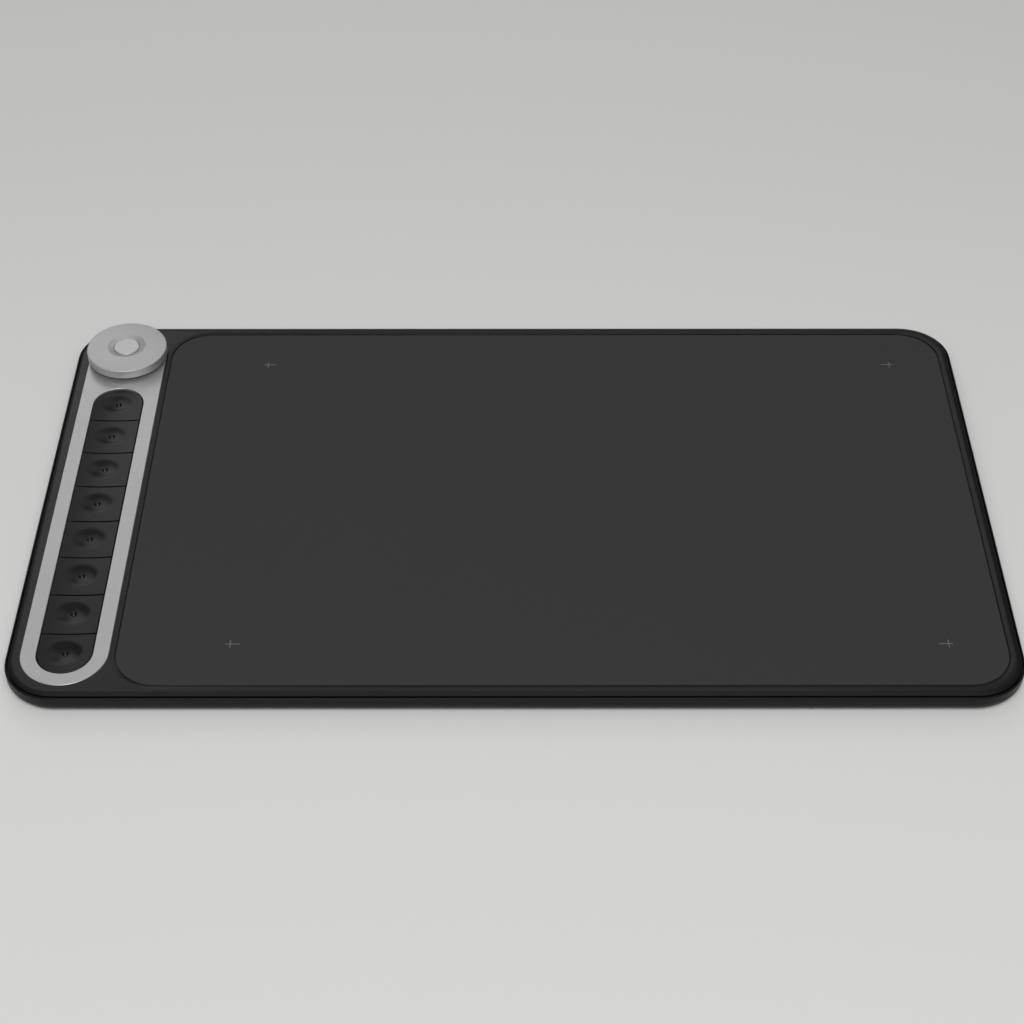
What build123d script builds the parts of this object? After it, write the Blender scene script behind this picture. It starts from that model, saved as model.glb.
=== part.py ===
from build123d import *
import os
from math import sqrt

os.makedirs("parts", exist_ok=True)

# Sizes are in millimetres. X runs along the tablet, Y away from the user, Z up from the desk.
# The origin lies on the desk, under the middle of the case.

# Bottom shell of the case
case_width = 376.2
case_depth = 220.3
case_corner = 20.0
case_wall = 3.0
case_floor = 1.5
rim_wall = 0.65
rim_round = 0.5
base_round = 4.5
inner_base_round = 2.0
inside_height = 5.0

# Rubber feet, which lift the case off the desk
foot_proud = 0.6
foot_sunk = 0.5
foot_length = 50.0
foot_width = 9.0
foot_from_side = 44.5
foot_from_end = 24.6

# Top cover, which sits inside the shell's rim with a shadow groove around it
rim_groove = 0.6
rim_step = 0.8
ledge_drop = 0.5
cover_skirt = 1.6
plate_under_sheet = 1.0
edge_fall = 0.45
edge_curve = 4.5
recess_slope = 1.4
recess_fall = 0.32
recess_crest = 4.0
recess_round = 0.15

# Drawing sheet, glued into a recess of the cover
sheet_thick = 0.6
sheet_sunk = 0.3
sheet_corner = 16.0
sheet_rim = 4.3
sheet_rim_front = 5.5
sheet_gap = 0.45
sheet_round = 0.15

# Silver strip around the keys and under the dial
strip_width = 32.8
strip_thick = 1.2
strip_proud = 0.1
strip_from_side = 4.05
strip_from_front = 4.95
strip_to_sheet = 2.6
strip_gap = 0.1
strip_bevel = 0.15

# Express keys, in one slot of the strip
key_count = 8
slot_width = 21.1
slot_from_front = 5.8
slot_to_dial = 4.55
key_gap = 0.35
key_split = 0.4
key_sunk = 0.1
key_height = 2.65
key_dip = 0.6
key_edge_round = 0.2
key_travel = 0.6
dish_from_middle = 0.8
dish_reach = 5.3
dish_deep = 0.6
dish_lip_round = 14.0
nub_radius = 1.4
nub_proud = 0.65
rail_width = 3.6
rail_reach = 11.6
rail_height = 0.95
rail_slack = 0.25

# Tray that guides the keys, and the board below them
tray_gap = 0.35
tray_wall = 1.6
tray_end_wall = 4.95
slot_end_gap = 1.3
cover_slot_gap = 0.2
board_lift = 1.1
board_thick = 0.8

# Push switches under the keys and under the dial's button
switch_size = 6.0
switch_height = 1.1
switch_bore_deep = 0.95
stem_radius = 1.5
stem_gap = 0.05
stem_over_travel = 0.15
post_radius = 2.0

# Dial
dial_from_back = 20.1
dial_radius = 16.95
dial_thick = 3.9
dial_dome = 0.85
dial_lift = 1.5
dial_round = 0.45
hub_radius = 10.5
hub_lift = 0.3
well_radius = 8.0
well_deep = 0.9
lip_thick = 0.4

# Button in the middle of the dial
button_radius = 5.45
button_hole_gap = 0.3
button_sunk = 0.35
button_round = 0.5
button_travel = 0.5
button_flange = 6.7
button_flange_thick = 0.9
button_flange_slack = 0.2

# Dial bearing: hollow shaft, bush in the cover, retaining ring and code wheel
shaft_radius = 7.0
shaft_fit = 0.05
shaft_bore = 2.5
shaft_cup_radius = 5.0
shaft_cup_roof = 6.4
shaft_seat_radius = 6.0
shaft_board_gap = 0.4
bush_wall = 2.0
bush_flange_radius = 11.0
bush_flange_thick = 0.8
bush_tail = 0.3
ring_width = 2.0
ring_thick = 0.3
ring_groove_deep = 0.6
ring_gap = 0.1
wheel_radius = 10.2
wheel_thick = 0.4
wheel_lift = 0.5
wheel_slots = 24
wheel_slot_length = 1.6
wheel_slot_width = 1.0
fork_length = 4.0
fork_width = 5.0
fork_jaw = 0.3
fork_gap = 0.2
fork_overlap = 1.2
fork_top_gap = 0.1

# Pen sensing board under the drawing sheet, with its shield
sensor_thick = 0.8
sensor_from_left = 32.4
sensor_from_right = 12.2
sensor_from_end = 11.3
shield_thick = 0.3
shield_back_strip = 10.0

# Main board at the back edge
main_width = 82.0
main_depth = 44.0
main_from_key_board = 22.9
main_from_wall = 1.0
main_screw_inset = 4.0

# Charging and data port in the back edge
port_width = 8.94
port_height = 3.16
port_length = 7.35
port_wall = 0.3
port_sunk = 1.0
port_gap = 0.2
port_from_corner = 35.0
port_drop = 0.5
port_round = 1.5
tongue_width = 6.6
tongue_thick = 0.7
tongue_short = 1.0

# Power slide switch in the back edge
power_from_port = 25.0
power_body_width = 8.6
power_body_depth = 3.6
power_body_height = 2.2
power_knob_width = 4.0
power_knob_height = 1.6
power_travel = 2.0
power_gap = 0.3
power_knob_sunk = 0.2
power_tab_width = 2.0
power_tab_height = 0.8
power_tab_length = 1.5
power_knob_from_body = 0.1
power_scoop_deep = 0.8
power_scoop_margin = 1.4
power_grip_count = 3
power_grip_pitch = 1.0
power_grip_width = 0.4
power_grip_deep = 0.3

# Status light beside the port
light_from_port = 12.0
light_radius = 0.75
light_gap = 0.05
light_reach = 6.2
light_sunk = 0.6
light_lift = 1.1
lamp_length = 1.6

# Battery on the floor of the case
battery_width = 92.0
battery_depth = 62.0
battery_thick = 3.2
battery_corner = 3.0
pad_thick = 0.2
pad_inset = 4.0
battery_from_main = 24.0
battery_from_front = 60.0
fence_gap = 0.6
fence_wall = 1.2
fence_height = 2.0
plug_width = 6.0
plug_depth = 4.0
plug_height = 1.4
lead_radius = 0.45
lead_pitch = 2.0
lead_from_side = 6.0
lead_from_board = 2.0
lead_bend = 0.8

# Flat cables and their connectors
cable_thick = 0.2
connector_height = 1.2
connector_depth = 2.4
sensor_cable_width = 12.0
key_cable_width = 7.0
connector_margin = 0.6
cable_tail = 1.2
sensor_socket_from_edge = 4.0
sensor_cable_along = 40.0
main_socket_from_back = 28.0
key_cable_from_edge = 0.4

# Screws
case_screw_shank = 0.95
case_screw_head = 1.9
case_screw_head_thick = 1.1
case_screw_length = 4.2
case_screw_clear = 0.25
case_screw_gap = 0.05
case_screw_sunk = 0.3
head_well_gap = 0.3
cover_post_radius = 3.0
case_post_radius = 3.4
seat_thick = 1.4
small_screw_shank = 0.75
small_screw_head = 1.4
small_screw_head_thick = 0.8
small_screw_length = 2.4
small_screw_gap = 0.05
small_post_radius = 2.2
post_from_sheet = 9.8
post_from_side = 8.2
post_from_front = 9.3
post_side_inset = 24.3
post_middle = 20.0
hole_over = 0.5

# Stiffening ribs on the floor
rib_thick = 1.2
rib_count_long = 3
rib_count_cross = 2
rib_gap = 0.1

# Small chips on the main board
chip_height = 0.9
chip_rows = ((14.0, 8.0, 7.0), (52.0, 10.0, 10.0), (53.0, 27.0, 5.0), (68.0, 14.0, 4.0), (18.0, 24.0, 4.0))

# Heights worked out from the sizes above
under = foot_proud
floor_top = under + case_floor
board_low = floor_top + board_lift
board_top = board_low + board_thick
plate_low = floor_top + inside_height
sheet_low = plate_low + plate_under_sheet
sheet_top = sheet_low + sheet_thick
cover_top = sheet_top + sheet_sunk
skirt_low = plate_low - ledge_drop
rim_top = cover_top - rim_step
strip_top = cover_top + strip_proud
strip_low = strip_top - strip_thick
key_top = strip_top - key_sunk
key_low = key_top - key_height
rail_top = plate_low - rail_slack
rail_low = rail_top - rail_height
switch_top = board_top + switch_height
stem_top = switch_top + max(key_travel, button_travel) + stem_over_travel
sensor_low = plate_low - sensor_thick
shield_low = sensor_low - shield_thick

# Places worked out from the sizes above
cover_width = case_width - 2 * (rim_wall + rim_groove)
cover_depth = case_depth - 2 * (rim_wall + rim_groove)
cover_corner = case_corner - rim_wall - rim_groove
strip_x = -cover_width / 2 + strip_from_side + strip_width / 2
strip_front = -cover_depth / 2 + strip_from_front
dial_y = cover_depth / 2 - dial_from_back
strip_back = dial_y + strip_width / 2
strip_length = strip_back - strip_front
strip_y = (strip_front + strip_back) / 2
slot_front = strip_front + slot_from_front
slot_back = dial_y - dial_radius - slot_to_dial
slot_length = slot_back - slot_front
key_pitch = slot_length / key_count
slot_y = (slot_front + slot_back) / 2
sheet_left = strip_x + strip_width / 2 + strip_to_sheet
sheet_right = cover_width / 2 - sheet_rim
sheet_width = sheet_right - sheet_left
sheet_x = (sheet_left + sheet_right) / 2
sheet_depth = cover_depth - sheet_rim - sheet_rim_front
sheet_y = (sheet_rim_front - sheet_rim) / 2
tray_front = slot_front - slot_end_gap - tray_end_wall
tray_back = slot_back + slot_end_gap + tray_end_wall
tray_half = rail_reach + tray_gap + tray_wall
inner_back = case_depth / 2 - case_wall
inner_front = -inner_back
sensor_left = sheet_left + sensor_from_left
sensor_right = sheet_right - sensor_from_right
sensor_back = sheet_depth / 2 - sensor_from_end
key_board_right = strip_x + tray_half
main_left = key_board_right + main_from_key_board
main_back = inner_back - main_from_wall
main_front = main_back - main_depth
port_x = main_left + port_from_corner
port_z = board_low - port_drop + port_height / 2
power_x = port_x + power_from_port
battery_x = main_left + main_width + battery_from_main + battery_width / 2
battery_y = inner_front + battery_from_front + battery_depth / 2


def block(x_low, x_high, y_low, y_high, z_low, z_high):
    """A box given by its limits."""
    size = (x_high - x_low, y_high - y_low, z_high - z_low)
    middle = ((x_low + x_high) / 2, (y_low + y_high) / 2, (z_low + z_high) / 2)
    return Pos(*middle) * Box(*size)


def drum(radius, x, y, z_low, z_high):
    """An upright cylinder."""
    return Pos(x, y, (z_low + z_high) / 2) * Cylinder(radius, z_high - z_low)


def plate(width, depth, corner, x, y, z_low, z_high):
    """A flat plate with rounded corners."""
    outline = Pos(x, y, z_low) * RectangleRounded(width, depth, corner)
    return extrude(outline, amount=z_high - z_low)


def track(length, width, x, y, z_low, z_high):
    """A plate along Y with round ends."""
    outline = Pos(x, y, z_low) * Rot(0, 0, 90) * SlotOverall(length, width)
    return extrude(outline, amount=z_high - z_low)


def edges_at(shape, z, tolerance=0.001):
    """The edges of a shape that lie flat at one height."""
    return [e for e in shape.edges() if abs(e.bounding_box().min.Z - z) < tolerance
            and abs(e.bounding_box().max.Z - z) < tolerance]


def edges_above(shape, z):
    """The edges of a shape that lie nowhere below a height."""
    return [e for e in shape.edges() if e.bounding_box().min.Z > z - 0.001]


def edges_round_sheet(shape, z, margin):
    """The flat edges at one height that lie within a margin around the drawing sheet."""
    margin += 0.1
    return [e for e in edges_at(shape, z) if e.bounding_box().min.X > sheet_left - margin
            and e.bounding_box().max.X < sheet_right + margin
            and abs(e.center().Y - sheet_y) < sheet_depth / 2 + margin]


def save(node, shape):
    export_step(shape, "parts/" + node + ".step")


# Where the screws stand that hold the two shells together
left_post_x = sheet_left + post_from_sheet
right_post_x = cover_width / 2 - post_from_side
end_post_y = cover_depth / 2 - post_from_front
side_post_y = cover_depth / 2 - post_side_inset
post_places = [(left_post_x, 0)]
for side in (-1, 1):
    post_places += [(left_post_x, side * end_post_y), (post_middle, side * end_post_y)]
    post_places += [(right_post_x, side * side_post_y)]
post_split = floor_top - case_screw_sunk + seat_thick
head_low = post_split - seat_thick - case_screw_head_thick

foot_places = [(sx * (case_width / 2 - foot_from_side), sy * (case_depth / 2 - foot_from_end))
               for sx in (-1, 1) for sy in (-1, 1)]

# The main board's screws stand near its corners
main_posts = [(main_left + main_screw_inset, main_front + main_screw_inset),
              (main_left + main_width - main_screw_inset, main_front + main_screw_inset),
              (main_left + main_width - main_screw_inset, main_back - main_screw_inset),
              (main_left + main_screw_inset, main_back - main_screw_inset)]

# The tray's screws stand in its end walls, and one behind the dial in a post of the cover
dial_post_y = dial_y + bush_flange_radius + cover_post_radius + case_screw_clear
tray_screws_y = [tray_front + tray_end_wall / 2, tray_back - tray_end_wall / 2, dial_post_y]

key_places = [slot_back - key_pitch * (i + 0.5) for i in range(key_count)]


def make_bottom_cover():
    """The bottom shell, with its rim, posts, ribs and openings."""
    shell = plate(case_width, case_depth, case_corner, 0, 0, under, rim_top)
    shell = fillet(edges_at(shell, rim_top), rim_round)
    shell = fillet(edges_at(shell, under), base_round)
    cavity = plate(case_width - 2 * case_wall, case_depth - 2 * case_wall, case_corner - case_wall,
                   0, 0, floor_top, rim_top + 1)
    shell -= fillet(edges_at(cavity, floor_top), inner_base_round)
    shell -= plate(case_width - 2 * rim_wall, case_depth - 2 * rim_wall, case_corner - rim_wall,
                   0, 0, skirt_low, rim_top + 1)
    for x, y in post_places:
        shell += drum(case_post_radius, x, y, floor_top - 0.1, post_split)
    for x, y in main_posts:
        shell += drum(small_post_radius, x, y, floor_top - 0.1, board_low)
    shell += make_floor_ribs()
    for x, y in post_places:
        shell -= drum(case_screw_shank + case_screw_clear, x, y, under - 1, post_split + 1)
        shell -= drum(case_screw_head + head_well_gap, x, y, under - 1, post_split - seat_thick)
    for x, y in main_posts:
        shell -= drum(small_screw_shank + small_screw_gap, x, y, board_top - small_screw_length - hole_over,
                      board_low + 1)
    for x, y in foot_places:
        shell -= make_foot(x, y, under, under + foot_sunk)
    shell -= make_port_opening()
    shell -= make_power_opening()
    shell -= make_light_rod(light_radius + light_gap, inner_back - 1, case_depth / 2 + 1)
    return shell


def make_floor_ribs():
    """Ribs that stiffen the floor and carry the key board and the battery."""
    ribs = []
    rib_left = sheet_left + 2 * post_from_sheet
    rib_right = right_post_x - 2 * case_post_radius
    rib_top = shield_low - rib_gap
    fence_x = battery_width / 2 + fence_gap
    fence_y = battery_depth / 2 + fence_gap
    front_of_main = main_front - main_screw_inset
    for i in range(rib_count_long):
        y = inner_front + (battery_y - fence_y - inner_front) * (i + 1) / (rib_count_long + 1)
        ribs.append(block(rib_left, rib_right, y - rib_thick / 2, y + rib_thick / 2,
                          floor_top - 0.1, rib_top))
    for i in range(rib_count_cross):
        x = rib_left + (battery_x - fence_x - rib_left) * (i + 1) / (rib_count_cross + 1)
        ribs.append(block(x - rib_thick / 2, x + rib_thick / 2, inner_front + 2 * post_from_front,
                          front_of_main, floor_top - 0.1, rib_top))
    for side in (-1, 1):
        x = battery_x + side * (fence_x + fence_wall / 2)
        y = battery_y + side * (fence_y + fence_wall / 2)
        ribs.append(block(x - fence_wall / 2, x + fence_wall / 2, battery_y - fence_y - fence_wall,
                          battery_y + fence_y + fence_wall, floor_top - 0.1, floor_top + fence_height))
        ribs.append(block(battery_x - fence_x, battery_x + fence_x, y - fence_wall / 2, y + fence_wall / 2,
                          floor_top - 0.1, floor_top + fence_height))
    rib_places = [slot_front + key_pitch * (i + 1) for i in range(0, key_count - 1, 2)]
    for y in rib_places + [dial_y]:
        ribs.append(block(strip_x - tray_half, strip_x + tray_half, y - rib_thick / 2, y + rib_thick / 2,
                          floor_top - 0.1, board_low))
    return ribs


def make_foot(x, y, z_low, z_high):
    outline = Pos(x, y, z_low) * SlotOverall(foot_length, foot_width)
    return extrude(outline, amount=z_high - z_low)


def make_port_opening():
    """The port's mouth through the back wall."""
    outline = RectangleRounded(port_width + 2 * port_gap, port_height + 2 * port_gap, port_round + port_gap)
    mouth = extrude(Pos(port_x, case_depth / 2 + 1, port_z) * Rot(90, 0, 0) * outline, amount=case_wall + 2)
    return mouth


def power_knob_z():
    return board_top + power_body_height / 2


def make_power_opening():
    """The slide switch's slot in the back wall, in a shallow scoop."""
    z = power_knob_z()
    half_height = power_knob_height / 2 + power_gap
    left = power_x - power_knob_width / 2 - power_gap
    right = power_x + power_knob_width / 2 + power_travel + power_gap
    slot = block(left, right, inner_back - 1, case_depth / 2 + 1, z - half_height, z + half_height)
    scoop = block(left - power_scoop_margin, right + power_scoop_margin, case_depth / 2 - power_scoop_deep,
                  case_depth / 2 + 1, z - half_height, z + half_height)
    return slot + scoop


def make_light_rod(radius, y_low, y_high):
    """A rod along Y through the back wall, beside the port."""
    middle = Pos(port_x + light_from_port, (y_low + y_high) / 2, board_top + light_lift)
    return middle * Rot(90, 0, 0) * Cylinder(radius, y_high - y_low)


def make_top_cover():
    """The top cover: a plate with a rounded rim, a skirt, recesses and screw posts."""
    reach = edge_curve - sqrt(2 * edge_curve * edge_fall - edge_fall ** 2)
    blank = plate(cover_width + 2 * reach, cover_depth + 2 * reach, cover_corner + reach, 0, 0,
                  cover_top - 2 * edge_curve, cover_top)
    blank = fillet(edges_at(blank, cover_top), edge_curve)
    cover = blank & plate(cover_width, cover_depth, cover_corner, 0, 0, skirt_low, cover_top + 1)
    cover -= plate(cover_width - 2 * cover_skirt, cover_depth - 2 * cover_skirt, cover_corner - cover_skirt,
                   0, 0, skirt_low - 1, plate_low)
    cover -= plate(sheet_width + 2 * sheet_gap, sheet_depth + 2 * sheet_gap, sheet_corner + sheet_gap,
                   sheet_x, sheet_y, sheet_low, cover_top + 1)
    cover -= track(strip_length + 2 * strip_gap, strip_width + 2 * strip_gap, strip_x, strip_y,
                   strip_low, cover_top + 1)
    top_face = cover.faces().sort_by(Axis.Z)[-1]
    cover = chamfer(edges_round_sheet(cover, cover_top, sheet_gap), recess_slope, recess_fall,
                    reference=top_face)
    cover = fillet(edges_round_sheet(cover, cover_top, sheet_gap + recess_slope), recess_crest)
    cover = fillet(edges_round_sheet(cover, cover_top - recess_fall, sheet_gap), recess_round)
    for x, y in post_places:
        cover += drum(cover_post_radius, x, y, post_split, plate_low + 0.1)
    cover += drum(cover_post_radius, strip_x, dial_post_y, board_top, plate_low + 0.1)
    for x, y in post_places:
        cover -= drum(case_screw_shank + case_screw_gap, x, y, post_split - 1,
                      post_split - seat_thick + case_screw_length + hole_over)
    cover -= drum(small_screw_shank + small_screw_gap, strip_x, dial_post_y, board_top - 1,
                  board_low + small_screw_length + hole_over)
    cover -= track(slot_length + 2 * cover_slot_gap, slot_width + 2 * cover_slot_gap, strip_x, slot_y,
                   plate_low - 1, cover_top + 1)
    cover -= drum(shaft_radius + shaft_fit + bush_wall, strip_x, dial_y, plate_low - 1, cover_top + 1)
    return cover


def make_drawing_sheet():
    sheet = plate(sheet_width, sheet_depth, sheet_corner, sheet_x, sheet_y, sheet_low, sheet_top)
    return fillet(edges_at(sheet, sheet_top), sheet_round)


def make_key_trim():
    """The silver strip, with the slot for the keys and the hole for the dial's bush."""
    strip = track(strip_length, strip_width, strip_x, strip_y, strip_low, strip_top)
    strip -= track(slot_length, slot_width, strip_x, slot_y, strip_low - 1, strip_top + 1)
    strip = chamfer(edges_at(strip, strip_top), strip_bevel)
    strip -= drum(shaft_radius + shaft_fit + bush_wall, strip_x, dial_y, strip_low - 1, strip_top + 1)
    return strip


def make_key_tray():
    """The frame under the cover that guides the keys and rests on their board."""
    tray = track(tray_back - tray_front, 2 * tray_half, strip_x, slot_y, board_top, plate_low)
    tray -= track(slot_length + 2 * slot_end_gap, 2 * (tray_half - tray_wall), strip_x, slot_y,
                  board_top - 1, plate_low + 1)
    for y in tray_screws_y[:2]:
        tray -= drum(small_screw_shank + small_screw_gap, strip_x, y, board_top - 1,
                     board_low + small_screw_length + hole_over)
    return tray


def make_key_trough(y):
    """What the caps are hollowed by: a wide arc from side to side."""
    radius = ((slot_width / 2) ** 2 + key_dip ** 2) / (2 * key_dip)
    return Pos(strip_x, y, key_top - key_dip + radius) * Rot(90, 0, 0) * Cylinder(radius, 2 * key_pitch)


def make_dish(cap, y):
    """The round dish behind a cap's middle, with a soft lip and a nub in it."""
    low = key_top - key_dip
    dish_radius = (dish_reach ** 2 + dish_deep ** 2) / (2 * dish_deep)
    cap -= Pos(strip_x, y, low - dish_deep + dish_radius) * Sphere(dish_radius)
    reach = 1.5 * dish_reach
    lip = [e for e in edges_above(cap, low) if e.bounding_box().min.X > strip_x - reach
           and e.bounding_box().max.X < strip_x + reach and e.bounding_box().min.Y > y - reach
           and e.bounding_box().max.Y < y + reach]
    cap = fillet(lip, dish_lip_round)
    nub = Pos(strip_x, y, low - dish_deep + nub_proud - nub_radius) * Sphere(nub_radius)
    return cap + (nub & drum(nub_radius, strip_x, y, key_low, key_top))


def make_key(y):
    """One key: a cap hollowed across, a round dish, two side rails and a post to its switch."""
    y_low = y - key_pitch / 2 + key_split / 2
    y_high = y + key_pitch / 2 - key_split / 2
    low = key_top - key_dip
    cap = track(slot_length - 2 * key_gap, slot_width - 2 * key_gap, strip_x, slot_y, key_low, key_top)
    cap &= block(strip_x - slot_width, strip_x + slot_width, y_low, y_high, key_low, key_top)
    cap -= make_key_trough(y)
    cap = fillet(edges_above(cap, low), key_edge_round)
    cap = make_dish(cap, y + dish_from_middle)
    rail_y_low = max(y_low, slot_front + slot_width / 2)
    rail_y_high = min(y_high, slot_back - slot_width / 2)
    for side in (-1, 1):
        outer = strip_x + side * rail_reach
        inner = outer - side * rail_width
        cap += block(min(outer, inner), max(outer, inner), rail_y_low, rail_y_high, rail_low, rail_top)
    cap += drum(post_radius, strip_x, y, stem_top, key_low + 0.1)
    return cap


def make_stem(y):
    """The moving plunger of a push switch."""
    low = switch_top - switch_bore_deep + max(key_travel, button_travel) + stem_gap
    return drum(stem_radius, strip_x, y, low, stem_top)


def make_switch(y):
    """The fixed body of a push switch, with the bore for its plunger."""
    half = switch_size / 2
    body = block(strip_x - half, strip_x + half, y - half, y + half, board_top, switch_top)
    return body - drum(stem_radius + stem_gap, strip_x, y, switch_top - switch_bore_deep, switch_top + 1)


def make_key_board():
    board_back = dial_post_y + cover_post_radius
    middle = (tray_front + board_back) / 2
    board = track(board_back - tray_front, 2 * tray_half, strip_x, middle, board_low, board_top)
    for y in tray_screws_y:
        board -= drum(small_screw_shank + case_screw_clear, strip_x, y, board_low - 1, board_top + 1)
    return board


# Heights of the dial's stack, from the strip up
hub_low = strip_top + hub_lift
disc_low = strip_top + dial_lift
disc_edge = disc_low + dial_thick
disc_top = disc_edge + dial_dome
button_hole = button_radius + button_hole_gap
lip_low = disc_top - well_deep - lip_thick
flange_top = lip_low - button_flange_slack
flange_low = flange_top - button_flange_thick
shaft_top = flange_low - button_travel - button_flange_slack
shaft_low = board_top + shaft_board_gap
wheel_low = board_top + wheel_lift
wheel_top = wheel_low + wheel_thick
bush_low = plate_low - bush_flange_thick - bush_tail
ring_top = bush_low - ring_gap
ring_low = ring_top - ring_thick


def turned(profile):
    """A turned piece on the dial's axis, from points of radius and height."""
    outline = make_face(Polyline(*profile, close=True))
    return Pos(strip_x, dial_y, 0) * revolve(Plane.XZ * outline, Axis.Z)


def make_dial_knob():
    """The dial's disc, slightly domed, with a hub below and a conical well for the button."""
    bore = shaft_radius + shaft_fit
    knob = turned([(bore, hub_low), (hub_radius, hub_low), (hub_radius, disc_low), (dial_radius, disc_low),
                   (dial_radius, disc_top), (well_radius, disc_top), (button_hole, disc_top - well_deep),
                   (button_hole, lip_low), (bore, lip_low)])
    dome_drop = (dial_radius ** 2 - well_radius ** 2 + dial_dome ** 2) / (2 * dial_dome)
    dome_radius = sqrt(well_radius ** 2 + dome_drop ** 2)
    knob &= Pos(strip_x, dial_y, disc_top - dome_drop) * Sphere(dome_radius)
    rims = [e for e in edges_at(knob, disc_edge) + edges_at(knob, disc_low)
            if abs(e.bounding_box().size.X - 2 * dial_radius) < 0.01]
    return fillet(rims, dial_round)


def make_dial_shaft():
    """The hollow shaft: a cup over the switch, a seat for the wheel and a groove for the ring."""
    groove = shaft_radius - ring_groove_deep
    groove_low = ring_low - ring_gap / 2
    groove_top = ring_top + ring_gap / 2
    return turned([(shaft_cup_radius, shaft_low), (shaft_seat_radius, shaft_low),
                   (shaft_seat_radius, wheel_top), (shaft_radius, wheel_top), (shaft_radius, groove_low),
                   (groove, groove_low), (groove, groove_top), (shaft_radius, groove_top),
                   (shaft_radius, shaft_top), (shaft_bore, shaft_top), (shaft_bore, shaft_cup_roof),
                   (shaft_cup_radius, shaft_cup_roof)])


def make_dial_bush():
    """The flanged bush that carries the shaft in the cover."""
    inner = shaft_radius + shaft_fit
    outer = inner + bush_wall
    return turned([(inner, bush_low), (outer, bush_low), (outer, plate_low - bush_flange_thick),
                   (bush_flange_radius, plate_low - bush_flange_thick), (bush_flange_radius, plate_low),
                   (outer, plate_low), (outer, strip_top), (inner, strip_top)])


def make_dial_ring():
    """The split ring that keeps the shaft from lifting out."""
    inner = shaft_radius - ring_groove_deep + shaft_fit
    ring = drum(inner + ring_width, strip_x, dial_y, ring_low, ring_top)
    ring -= drum(inner, strip_x, dial_y, ring_low - 1, ring_top + 1)
    split = ring_width / 2
    return ring - block(strip_x - split, strip_x + split, dial_y, dial_y + shaft_radius * 2, ring_low - 1,
                        ring_top + 1)


def make_encoder_wheel():
    """The slotted code wheel at the foot of the shaft."""
    wheel = drum(wheel_radius, strip_x, dial_y, wheel_low, wheel_top)
    wheel -= drum(shaft_seat_radius + shaft_fit, strip_x, dial_y, wheel_low - 1, wheel_top + 1)
    slot_middle = wheel_radius - fork_overlap
    slot = Box(wheel_slot_length, wheel_slot_width, 2 * wheel_thick)
    axis = Pos(strip_x, dial_y, (wheel_low + wheel_top) / 2)
    return wheel - [axis * Rot(0, 0, 360 * i / wheel_slots) * Pos(slot_middle, 0, 0) * slot
                    for i in range(wheel_slots)]


def make_encoder_fork():
    """The sensor that straddles the edge of the code wheel."""
    right = strip_x - wheel_radius + fork_overlap
    left = right - fork_length
    top = bush_low - fork_top_gap
    fork = block(left, right, dial_y - fork_width / 2, dial_y + fork_width / 2, board_top, top)
    throat_left = strip_x - wheel_radius - fork_gap
    return fork - block(throat_left, right + 1, dial_y - fork_width, dial_y + fork_width,
                        board_top + fork_jaw, wheel_top + fork_gap)


def make_dial_button():
    """The button's cap, its flange under the knob's lip and the post down to its switch."""
    top = disc_top - button_sunk
    post = shaft_bore - button_hole_gap
    button = turned([(0, stem_top), (post, stem_top), (post, flange_low), (button_flange, flange_low),
                     (button_flange, flange_top), (button_radius, flange_top), (button_radius, top),
                     (0, top)])
    return fillet(edges_at(button, top), button_round)


def make_sensor_board():
    return block(sensor_left, sensor_right, -sensor_back, sensor_back, sensor_low, plate_low)


def make_shield_plate():
    return block(sensor_left, sensor_right, -sensor_back, sensor_back - shield_back_strip,
                 shield_low, sensor_low)


def make_main_board():
    board = block(main_left, main_left + main_width, main_front, main_back, board_low, board_top)
    for x, y in main_posts:
        board -= drum(small_screw_shank + case_screw_clear, x, y, board_low - 1, board_top + 1)
    notch = port_width / 2 + port_gap
    return board - block(port_x - notch, port_x + notch, case_depth / 2 - port_sunk - port_length - port_gap,
                         main_back + 1, board_low - 1, board_top + 1)


def make_main_chips():
    chips = [block(main_left + x, main_left + x + size, main_front + y, main_front + y + size,
                   board_top, board_top + chip_height) for x, y, size in chip_rows]
    return Compound(chips)


def make_status_lamp():
    x = port_x + light_from_port
    y = case_depth / 2 - light_sunk - light_reach
    return block(x - light_radius, x + light_radius, y - lamp_length, y, board_top,
                 board_top + light_lift + light_radius)


def make_usb_port():
    """The port's metal shell, open to the back."""
    y_high = case_depth / 2 - port_sunk
    outer = RectangleRounded(port_width, port_height, port_round)
    inner = RectangleRounded(port_width - 2 * port_wall, port_height - 2 * port_wall, port_round - port_wall)
    place = Pos(port_x, y_high, port_z) * Rot(90, 0, 0)
    port = extrude(place * outer, amount=port_length)
    return port - extrude(place * inner, amount=port_length - port_wall)


def make_usb_tongue():
    y_low = case_depth / 2 - port_sunk - port_length + port_wall
    y_high = case_depth / 2 - port_sunk - tongue_short
    return block(port_x - tongue_width / 2, port_x + tongue_width / 2, y_low, y_high,
                 port_z - tongue_thick / 2, port_z + tongue_thick / 2)


power_body_back = main_back - 2 * power_gap


def make_power_switch():
    """The slide switch's body, with a groove for the slider's tab."""
    middle = power_x + power_travel / 2
    body = block(middle - power_body_width / 2, middle + power_body_width / 2,
                 power_body_back - power_body_depth, power_body_back,
                 board_top, board_top + power_body_height)
    z = power_knob_z()
    half = power_tab_height / 2 + power_gap
    return body - block(power_x - power_tab_width / 2 - power_gap,
                        power_x + power_tab_width / 2 + power_travel + power_gap,
                        power_body_back - power_tab_length - power_gap, power_body_back + 1,
                        z - half, z + half)


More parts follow.
